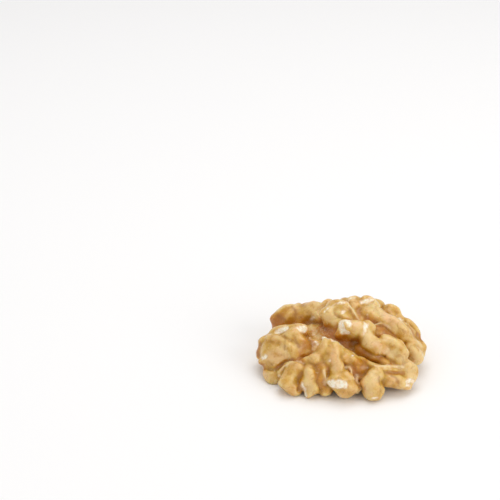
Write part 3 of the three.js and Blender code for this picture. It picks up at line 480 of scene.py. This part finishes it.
def chain_distance(found, x, y, z, rooted=False, root=None):
    """How far each place is outside the chain, whose root, if it has one, reaches in to the heart."""
    nearest = np.full(np.shape(x), FAR, np.float32)
    for a, b in zip(found[:-1], found[1:]):
        d = (b - a)[:3]
        px, py, pz = x - a[0], y - a[1], z - a[2]
        t = np.clip((px * d[0] + py * d[1] + pz * d[2]) / (d @ d), 0, 1)
        ox, oy, oz = px - t * d[0], py - t * d[1], pz - t * d[2]
        if rooted:
            n = np.array([HEART[0] * a[0], HEART[1] * a[1], HEART[2]]) - a[:3]
            n /= np.linalg.norm(n)
            level = (min(max(a[2], LOW), HIGH) - LOW) / (HIGH - LOW)
            counted = root or LOW_ROOT + (HIGH_ROOT - LOW_ROOT) * level
            deep = np.maximum(ox * n[0] + oy * n[1] + oz * n[2], 0) * (1 - counted)
            ox, oy, oz = ox - deep * n[0], oy - deep * n[1], oz - deep * n[2]
        away = np.sqrt(ox * ox + oy * oy + oz * oz)
        nearest = np.minimum(nearest, away - a[3] - t * (b[3] - a[3]))
    return nearest


def sampled(values, points):
    """The grid's values at those points."""
    f = (points - np.array(GRID_LOW)) / STEP
    n = np.clip(np.floor(f).astype(int), 0, np.array(values.shape) - 2)
    f = np.clip(f - n, 0, 1)
    total = 0
    for corner in range(8):
        bits = np.array([(corner >> k) & 1 for k in range(3)])
        weight = np.prod(np.where(bits, f, 1 - f), axis=1)
        total = total + weight * values[tuple((n + bits).T)]
    return total


def settled(table, height):
    """The table's chains, moved along the field's slope until they run that far above the surface."""
    moved = {}
    for name, chain in table.items():
        chain = np.array(chain, float)
        at = chain[:, :3]
        for _ in range(SETTLE_ROUNDS):
            rise = [sampled(field, at + way) - sampled(field, at - way) for way in PROBE * np.eye(3)]
            slope = np.stack(rise, 1) / (2 * PROBE)
            away = np.clip(sampled(field, at) - height, -SETTLE_MOST, SETTLE_MOST)
            at -= away[:, None] * slope / np.maximum((slope**2).sum(1), LEAST_SLOPE_SQUARED)[:, None]
        moved[name] = chain
    return moved


def lay(table, margin, join, softness, rooted=False, bent=True, root=None):
    """Joins every chain of a table to the field, inside a box round each."""
    for chain in table.values():
        found = links(chain)
        w = window(found, margin)
        places = (bent_x[w], bent_y[w], bent_z[w]) if bent else (gx[w], gy[w], gz[w])
        field[w] = join(field[w], chain_distance(found, *places, rooted, root), softness)


# The field: how far each place of the grid is outside the kernel
ex, ey, ez = bent_x / CORE["x"], bent_y / CORE["y"], (bent_z - CORE["base"]) / CORE["top"]
k = np.sqrt(ex * ex + ey * ey + ez * ez)
slope = np.sqrt((ex / CORE["x"]) ** 2 + (ey / CORE["y"]) ** 2 + (ez / CORE["top"]) ** 2)
dome = k * (k - 1) / np.maximum(slope, TINY)
field = smooth_max(dome, FLOOR_OF_CORE - bent_z, HOLLOW_BLEND).astype(np.float32)
lay(HOLLOWS, MARGIN["hollow"], cut_out, HOLLOW_BLEND)
for lobe in (FRONT_LOBE, LEFT_WING, REAR_LOBE, UNDERSIDE):
    lay(lobe, MARGIN["ridge"], smooth_min, BLEND, rooted=True)
lay(CREASES, MARGIN["crease"], cut_out, CREASE_BLEND)
lay(FINE_RIDGES, MARGIN["fine ridge"], smooth_min, BLEND, rooted=True, bent=False)
fine_creases = settled(FINE_CREASES, CREASE_HEIGHT)
membranes = settled(MEMBRANES, MEMBRANE_HEIGHT)
bare_chains = settled(BARE, 0.0)
lay(fine_creases, MARGIN["fine crease"], cut_out, FINE_BLEND, bent=False)
lay(membranes, MARGIN["membrane"], smooth_min, FINE_BLEND, rooted=True, bent=False, root=MEMBRANE_ROOT)
for x, y, z, way_x, way_y, way_z, radius in BREAKS.values():
    w = window(np.array([[x, y, z]]), radius + MARGIN["break"])
    way = np.array([way_x, way_y, way_z]) / math.sqrt(way_x * way_x + way_y * way_y + way_z * way_z)
    above = (gx[w] - x) * way[0] + (gy[w] - y) * way[1] + (gz[w] - z) * way[2]
    above = above + layered(BREAK_FACE, gx[w], gy[w], gz[w])
    ball = np.sqrt((gx[w] - x) ** 2 + (gy[w] - y) ** 2 + (gz[w] - z) ** 2) - radius
    field[w] = np.maximum(field[w], np.minimum(above, -ball))
for chain in bare_chains.values():
    found = links(chain)
    w = window(found, MARGIN["chip"])
    edge = chain_distance(found, gx[w], gy[w], gz[w]) + layered(RAGGED, gx[w], gy[w], gz[w])
    field[w] = field[w] + BARE_DEPTH * np.clip(0.5 - edge / CHIP_EDGE, 0, 1)

# Surface
GROOVE_CELLS, VALLEY_CELLS = 5, 17  # widths over which the kernel's fullness is averaged
SMOOTHING_ROUNDS = 1
SMOOTHING = (0.5, -0.52)  # a pull to the neighbours' middle, then a push back so that nothing shrinks


def blurred(values, cells):
    """Three running means over a window of that many cells along each axis."""
    half = cells // 2
    for _ in range(3):
        for axis in range(3):
            pad = [(half + 1, half) if a == axis else (0, 0) for a in range(3)]
            run = np.cumsum(np.pad(values, pad, mode="edge"), axis=axis, dtype=np.float64)
            n = run.shape[axis]
            upper = np.take(run, np.arange(cells, n), axis=axis)
            lower = np.take(run, np.arange(0, n - cells), axis=axis)
            values = ((upper - lower) / cells).astype(np.float32)
    return values


def surface_of(values):
    """A quad mesh of the place where the values change sign: one vertex in each crossed cell."""
    shape = np.array(values.shape)
    total = np.zeros((values.size, 3))
    count = np.zeros(values.size)
    faces = []
    for axis in range(3):
        after = np.roll(values, -1, axis)
        crossed = (values < 0) != (after < 0)
        inner = np.zeros_like(crossed)
        inner[1:-1, 1:-1, 1:-1] = crossed[1:-1, 1:-1, 1:-1]
        at = np.argwhere(inner)
        start, end = values[tuple(at.T)], after[tuple(at.T)]
        place = at.astype(float)
        place[:, axis] += start / (start - end)
        u, v = (axis + 1) % 3, (axis + 2) % 3
        ring = []
        for du, dv in ((0, 0), (1, 0), (1, 1), (0, 1)):
            cell = at.copy()
            cell[:, u] -= du
            cell[:, v] -= dv
            cell = np.ravel_multi_index(cell.T, shape)
            ring.append(cell)
            for d in range(3):
                total[:, d] += np.bincount(cell, place[:, d], values.size)
            count += np.bincount(cell, minlength=values.size)
        ring = np.stack(ring, 1)
        ring[start >= 0] = ring[start >= 0][:, ::-1]
        faces.append(ring)
    used = np.flatnonzero(count)
    number = np.full(values.size, -1)
    number[used] = np.arange(len(used))
    points = np.array(GRID_LOW) + STEP * total[used] / count[used, None]
    return points, number[np.concatenate(faces)]


def largest(points, quads):
    """Only the largest joined part of the mesh."""
    label = np.arange(len(points))
    while True:
        least = label[quads].min(1)
        new = label.copy()
        for n in range(4):
            np.minimum.at(new, quads[:, n], least)
        new = new[new]
        if (new == label).all():
            break
        label = new
    keep = label == np.bincount(label).argmax()
    number = np.cumsum(keep) - 1
    return points[keep], number[quads[keep[quads].all(1)]]


def smoothed(points, quads, rounds):
    ends = np.concatenate([quads[:, [n, (n + 1) % 4]] for n in range(4)])
    ends = np.concatenate([ends, ends[:, ::-1]])
    near = np.bincount(ends[:, 0], minlength=len(points))[:, None]
    for _ in range(rounds):
        for share in SMOOTHING:
            total = [np.bincount(ends[:, 0], points[ends[:, 1], d], len(points)) for d in range(3)]
            mean = np.stack(total, 1) / near
            points = points + share * (mean - points)
    return points


def normals_of(points, quads):
    across = points[quads[:, 2]] - points[quads[:, 0]]
    along = points[quads[:, 3]] - points[quads[:, 1]]
    face = np.cross(across, along)
    total = [np.bincount(quads.ravel(), np.repeat(face[:, d], 4), len(points)) for d in range(3)]
    total = np.stack(total, 1)
    return total / np.maximum(np.linalg.norm(total, axis=1, keepdims=True), TINY)


points, quads = surface_of(field)
points, quads = largest(points, quads)
points = smoothed(points, quads, SMOOTHING_ROUNDS)
normals = normals_of(points, quads)
x, y, z = points.T

# How much of each cell is inside the kernel, and how full it is round each point. The narrow fullness also
# paints shade into the grooves and light onto the ridges, and the wide fullness paints shade into the broad
# hollows
filled = np.clip(0.5 - field / STEP, 0, 1).astype(np.float32)
near_groove = np.clip(sampled(blurred(filled, GROOVE_CELLS), points), 0, 1)
wide_hollow_shade = np.clip(sampled(blurred(filled, VALLEY_CELLS), points), 0, 1)

# Marks and tints
TINT_REACH = 1.15  # a tint ends at this share of its radius


def near_to(found, reach):
    """The numbers of the points in a box round the chain."""
    low, high = found[:, :3].min(0) - reach, found[:, :3].max(0) + reach
    return np.flatnonzero(((points > low) & (points < high)).all(1))


def worn_by(table, spread, widen=0.0):
    """How much each point lies in the chains of a table, from 0 to 1."""
    most = np.zeros(len(points))
    for chain in table.values():
        found = links(chain)
        close = near_to(found, MARGIN["mark"])
        edge = chain_distance(found, x[close], y[close], z[close]) - widen
        edge = edge + layered(RAGGED, x[close], y[close], z[close])
        most[close] = np.maximum(most[close], np.clip(0.5 - edge / spread, 0, 1))
    return most


def faded(table):
    """How close each point is to the middle of a table's chains, from 0 to 1."""
    most = np.zeros(len(points))
    for chain in table.values():
        found = links(chain)
        close = near_to(found, found[:, 3].max() + MARGIN["tint"])
        away = chain_distance(found, x[close], y[close], z[close]) / found[:, 3].mean() + 1
        share = np.clip(TINT_REACH - away + layered(TINT_EDGE, x[close], y[close], z[close]), 0, 1)
        most[close] = np.maximum(most[close], eased(share))
    return most


# tone: above 0 paler, below 0 darker; partly the skin's own patches, partly painted shade and painted light
tone = faded(PALE) - faded(DARK)
blush = faded(BLUSH)
bare = worn_by(bare_chains, spread=0.25)
line = worn_by(settled(LINES, 0.0), spread=0.4, widen=0.08)
skin_edge = worn_by(membranes, spread=0.25, widen=0.1)

# The skin's own relief: soft wrinkles, more in the grooves, crumbs in the valley, grain where it is bare
ROUGH_PLACE, ROUGH_SIZE = (-5.2, 0.6, 7.6), (3.8, 4.2, 2.0)
OPEN_WRINKLES, GROOVE_WRINKLES, WRINKLE_SIZE = 0.02, 0.06, 0.5
rough_valley = np.exp(-sum(((c - m) / s) ** 2 for c, m, s in zip((x, y, z), ROUGH_PLACE, ROUGH_SIZE)))
in_groove = np.clip((near_groove - 0.5) * 4, 0, 1)
relief = layered(SOFT_WRINKLES, x, y, z)
relief += (OPEN_WRINKLES + GROOVE_WRINKLES * in_groove) * noise(grain, x, y, z, WRINKLE_SIZE)
relief += rough_valley * layered(VALLEY_CRUMBS, x, y, z)
relief = relief * (1 - bare) + bare * layered(CHIP_FACE, x, y, z)
points = points + normals * relief[:, None]

# The knobs that it lies on are pressed flat, and it is set in the CAD model's place
points[:, 2] = np.maximum(points[:, 2], WORN)
middle = (points.min(0) + points.max(0)) / 2
low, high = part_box("kernel")
shift = np.array([(low.x + high.x) / 2 / MM - middle[0], (low.y + high.y) / 2 / MM - middle[1], -WORN])
points += shift

marks = {"groove": near_groove, "valley": wide_hollow_shade, "bare": bare, "skin_edge": skin_edge,
         "tone": tone, "blush": blush, "line": line, "rough": rough_valley}
mesh = bpy.data.meshes.new("walnut_half")
mesh.from_pydata((points * MM).tolist(), [], quads.tolist())
for name, values in marks.items():
    mesh.attributes.new(name, "FLOAT", "POINT").data.foreach_set("value", values.astype(np.float32))
mesh.shade_smooth()
mesh.validate()
walnut = bpy.data.objects.new("walnut_half", mesh)
bpy.context.collection.objects.link(walnut)


# Materials
MIX_A, MIX_B, MIX_RESULT = 6, 7, 2  # a Mix node's sockets for colour


class Nodes:
    """Builds a material's nodes, one call each."""

    def __init__(self, name):
        self.material = bpy.data.materials.new(name)
        self.material.use_nodes = True
        self.tree = self.material.node_tree
        self.shader = self.tree.nodes["Principled BSDF"]

    def put(self, value, socket):
        if isinstance(value, bpy.types.NodeSocket):
            self.tree.links.new(value, socket)
        else:
            socket.default_value = value

    def set_shader(self, **values):
        """Sets the shader's own sockets."""
        for key, value in values.items():
            self.put(value, self.shader.inputs[key.replace("_", " ")])

    def node(self, kind, out=0, settings=(), **inputs):
        """Adds a node with those settings and inputs, and gives one of its outputs."""
        made = self.tree.nodes.new(kind)
        for key, value in dict(settings).items():
            setattr(made, key, value)
        for key, value in inputs.items():
            self.put(value, made.inputs[key.replace("_", " ")])
        return made.outputs[out]

    def calculated(self, operation, a, b, clamp=False):
        made = self.tree.nodes.new("ShaderNodeMath")
        made.operation = operation
        made.use_clamp = clamp
        self.put(a, made.inputs[0])
        self.put(b, made.inputs[1])
        return made.outputs[0]

    def plus(self, a, b):
        return self.calculated("ADD", a, b)

    def minus(self, a, b):
        return self.calculated("SUBTRACT", a, b)

    def times(self, a, b, clamp=False):
        return self.calculated("MULTIPLY", a, b, clamp)

    def spread(self, value, low, high):
        """From 0 at low to 1 at high."""
        return self.node("ShaderNodeMapRange", settings={"interpolation_type": "SMOOTHSTEP"},
                         Value=value, From_Min=low, From_Max=high)

    def ramp(self, value, stops):
        made = self.tree.nodes.new("ShaderNodeValToRGB")
        elements = made.color_ramp.elements
        while len(elements) < len(stops):
            elements.new(0.5)
        for element, (place, colour) in zip(elements, stops):
            element.position = place
            element.color = (*colour, 1)
        self.put(value, made.inputs[0])
        return made.outputs[0]

    def mix(self, share, a, b, way="MIX"):
        made = self.tree.nodes.new("ShaderNodeMix")
        made.data_type = "RGBA"
        made.blend_type = way
        self.put(share, made.inputs[0])
        self.put(a if isinstance(a, bpy.types.NodeSocket) else (*a, 1), made.inputs[MIX_A])
        self.put(b if isinstance(b, bpy.types.NodeSocket) else (*b, 1), made.inputs[MIX_B])
        return made.outputs[MIX_RESULT]

    def attribute(self, name):
        made = self.tree.nodes.new("ShaderNodeAttribute")
        made.attribute_name = name
        return made.outputs["Fac"]

    def pattern(self, place, size, detail, rough, distort):
        """Noise whose lumps are about size across, in millimetres."""
        return self.node("ShaderNodeTexNoise", Vector=place, Scale=1 / (size * MM), Detail=detail,
                         Roughness=rough, Distortion=distort)


# Skin
# Patterns of noise: size in millimetres, detail, roughness and distortion.
PATTERNS = {
    "broad": (4.0, 2.0, 0.55, 0.0),
    "medium": (1.4, 4.0, 0.6, 0.4),
    "fine": (0.35, 3.0, 0.6, 0.0),
    "fleck": (0.5, 4.0, 0.7, 0.6),
    "blotch": (0.65, 3.0, 0.6, 0.3),
    "speckle": (0.45, 4.0, 0.75, 0.0),
    "meat": (0.5, 3.0, 0.7, 0.0),
    "pore": (0.22, 2.0, 0.55, 0.0),
}
# The skin's colour from ridge to groove, and how much the patterns and tints shift it: paler on the ridges
# and darker towards the grooves, which is painted light on the ridge tops and painted shade in the grooves.
DEPTH = {"from": 0.22, "to": 0.8, "medium": 0.55, "blotch": 0.2, "tone": 0.24}
SKIN_WITH_GROOVE_SHADE = (
    (0.0, (0.76, 0.55, 0.235)),
    (0.28, (0.69, 0.45, 0.128)),
    (0.48, (0.635, 0.375, 0.065)),
    (0.68, (0.57, 0.31, 0.033)),
    (1.0, (0.47, 0.215, 0.010)),
)
# Tints laid over it one by one: how strong, in which colour and how.
TINTS = {
    # valley: painted shade in the broad hollows, where the kernel is full all round
    "valley": (0.45, (0.92, 0.66, 0.42), "MULTIPLY"),
    # stain_and_shade: the DARK places made darker and redder, partly real stains and partly painted shade in
    # grooves and creases
    "stain_and_shade": (0.8, (1.0, 0.86, 0.5), "MULTIPLY"),
    "blush": (0.75, (1.0, 0.87, 0.88), "MULTIPLY"),
    "pink": (0.45, (1.0, 0.86, 1.1), "MULTIPLY"),
    "fine": (0.2, (0.52, 0.27, 0.07), "MIX"),
    "fleck": (0.3, (0.88, 0.72, 0.46), "MIX"),
    "vein": (0.45, (0.46, 0.22, 0.05), "MIX"),
    "line": (0.65, (0.36, 0.14, 0.018), "MIX"),
    "speckle": (0.55, (0.84, 0.64, 0.40), "MIX"),
    "edge": (0.48, (0.86, 0.68, 0.45), "MIX"),
}
# Thin veins: their spacing in millimetres, their width as a share of it, and the waves that bend them.
VEIN = {"spacing": 2.1, "width": 0.09, "bend": 2.5, "bend size": 3.0, "bend detail": 2.0}
# The pale inside where the skin is knocked off, and the darker rim of such a place.
MEAT = (
    (0.0, (0.84, 0.66, 0.43)),
    (0.35, (0.95, 0.83, 0.62)),
    (1.0, (0.99, 0.95, 0.84)),
)
CHIP_RIM, CHIP_RIM_COLOUR = 1.2, (0.66, 0.40, 0.16)
# Gloss, how much light goes through the skin and how much less where it is bare, and the fine bumps: each
# pattern's share, the strength, and the depth in millimetres.
ROUGHNESS = {"least": 0.2, "medium": 0.2, "bare": 0.3}
GLOW, BARE_GLOW_LOSS = 0.85, 0.6
BUMP = {"pore": 0.5, "medium": 0.6, "strength": 0.66, "depth": 0.12}

n = Nodes("walnut_skin")
place = n.node("ShaderNodeTexCoord", "Object")
mask = {name: n.attribute(name) for name in marks}
noises = {name: n.pattern(place, *values) for name, values in PATTERNS.items()}

# depth: how far into a groove each point lies, shifted by noise and tone; it sets the painted groove shade
depth = n.plus(mask["groove"], n.times(n.minus(noises["medium"], 0.5), DEPTH["medium"]))
depth = n.plus(depth, n.times(n.minus(noises["blotch"], 0.5), DEPTH["blotch"]))
depth = n.minus(depth, n.times(mask["tone"], DEPTH["tone"]))
colour = n.ramp(n.spread(depth, DEPTH["from"], DEPTH["to"]), SKIN_WITH_GROOVE_SHADE)

sway = n.node("ShaderNodeTexNoise", "Color", Vector=place, Scale=1 / (VEIN["bend size"] * MM),
              Detail=VEIN["bend detail"])
bending = n.tree.nodes.new("ShaderNodeVectorMath")
bending.operation = "MULTIPLY_ADD"
n.put(sway, bending.inputs[0])
bending.inputs[1].default_value = (VEIN["bend"] * MM,) * 3
n.put(place, bending.inputs[2])
vein = n.node("ShaderNodeTexVoronoi", settings={"feature": "DISTANCE_TO_EDGE"},
              Vector=bending.outputs[0], Scale=1 / (VEIN["spacing"] * MM))
vein = n.spread(n.minus(VEIN["width"], vein), 0.0, VEIN["width"])

# Where each tint lies
where = {
    # painted shade where the wide fullness is high
    "valley": n.spread(mask["valley"], 0.48, 0.75),
    "stain_and_shade": n.times(mask["tone"], -1.0, clamp=True),
    "blush": mask["blush"],
    "pink": n.spread(noises["broad"], 0.5, 0.62),
    "fine": n.spread(noises["fine"], 0.5, 0.72),
    "fleck": n.spread(noises["fleck"], 0.56, 0.7),
    "vein": n.times(vein, n.spread(noises["medium"], 0.48, 0.6)),
    "line": mask["line"],
    "speckle": n.times(n.spread(noises["speckle"], 0.5, 0.62), mask["rough"]),
    "edge": mask["skin_edge"],
}
for name, (strength, tint, way) in TINTS.items():
    colour = n.mix(n.times(where[name], strength), colour, tint, way)

colour = n.mix(mask["bare"], colour, n.ramp(n.spread(noises["meat"], 0.35, 0.7), MEAT))
chip_rim = n.times(mask["bare"], n.minus(1.0, mask["bare"]))
colour = n.mix(n.times(chip_rim, CHIP_RIM), colour, CHIP_RIM_COLOUR)

rough = n.plus(ROUGHNESS["least"], n.times(noises["medium"], ROUGHNESS["medium"]))
rough = n.plus(rough, n.times(mask["bare"], ROUGHNESS["bare"]))
height = n.plus(n.times(noises["pore"], BUMP["pore"]), n.times(noises["medium"], BUMP["medium"]))
bump = n.node("ShaderNodeBump", Strength=BUMP["strength"], Distance=BUMP["depth"] * MM, Height=height)
n.set_shader(Base_Color=colour, Roughness=rough, Normal=bump, IOR=1.47, Specular_IOR_Level=0.5,
             Coat_Weight=0.3, Coat_Roughness=0.16,
             Subsurface_Radius=(1.0, 0.7, 0.4), Subsurface_Scale=1.8 * MM,
             Subsurface_Weight=n.minus(GLOW, n.times(mask["bare"], BARE_GLOW_LOSS)))
walnut.data.materials.append(n.material)

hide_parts("kernel")
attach(walnut, "root")

# Stage, in metres
FLOOR_HALF = 4.0
FLOOR_CORNERS = ((-1, -1), (1, -1), (1, 1), (-1, 1))
floor_mesh = bpy.data.meshes.new("floor")
floor_mesh.from_pydata([(x * FLOOR_HALF, y * FLOOR_HALF, 0) for x, y in FLOOR_CORNERS], [], [(0, 1, 2, 3)])
floor = bpy.data.objects.new("floor", floor_mesh)
bpy.context.collection.objects.link(floor)
paper = Nodes("table_white")
paper.set_shader(Base_Color=(0.95, 0.945, 0.945, 1), Roughness=0.8, Specular_IOR_Level=0.1)
floor_mesh.materials.append(paper.material)

# Light
WORLD_STRENGTH = 0.56
SOFTBOX_WHITE = (1.0, 0.99, 0.98)
# Square lights that aim at the middle of the table: place and side in metres, power in watts.
SOFTBOXES = {
    "top": ((0.03, 0.10, 0.45), 0.40, 0.98),
    "left": ((-0.32, -0.22, 0.30), 0.26, 0.16),
    "right": ((0.36, -0.26, 0.24), 0.30, 0.72),
}
world = bpy.data.worlds.new("studio")
bpy.context.scene.world = world
world.use_nodes = True
world.node_tree.nodes["Background"].inputs["Color"].default_value = (1.0, 1.0, 1.0, 1)
world.node_tree.nodes["Background"].inputs["Strength"].default_value = WORLD_STRENGTH
for name, (place, side, watts) in SOFTBOXES.items():
    light = bpy.data.lights.new(name, "AREA")
    light.shape = "SQUARE"
    light.size = side
    light.energy = watts
    light.color = SOFTBOX_WHITE
    softbox = bpy.data.objects.new(name, light)
    bpy.context.collection.objects.link(softbox)
    softbox.location = place
    across = math.hypot(place[0], place[1])
    softbox.rotation_euler = (math.atan2(across, place[2]), 0, math.atan2(place[0], -place[1]))

# Camera, in millimetres in the frame of the ridges
CAMERA = (-17.8, -227.5, 146.7)
CAMERA_TILT = 62  # degrees up from straight down
camera_data = bpy.data.cameras.new("camera")
camera_data.lens = 100
camera_data.sensor_width = 36
camera_data.clip_start, camera_data.clip_end = 0.01, 20
camera = bpy.data.objects.new("camera", camera_data)
bpy.context.collection.objects.link(camera)
camera.location = (np.array(CAMERA) + shift) * MM
camera.rotation_euler = (math.radians(CAMERA_TILT), 0, 0)
bpy.context.scene.camera = camera
bpy.context.scene.view_settings.view_transform = "Standard"
bpy.context.scene.view_settings.look = "None"
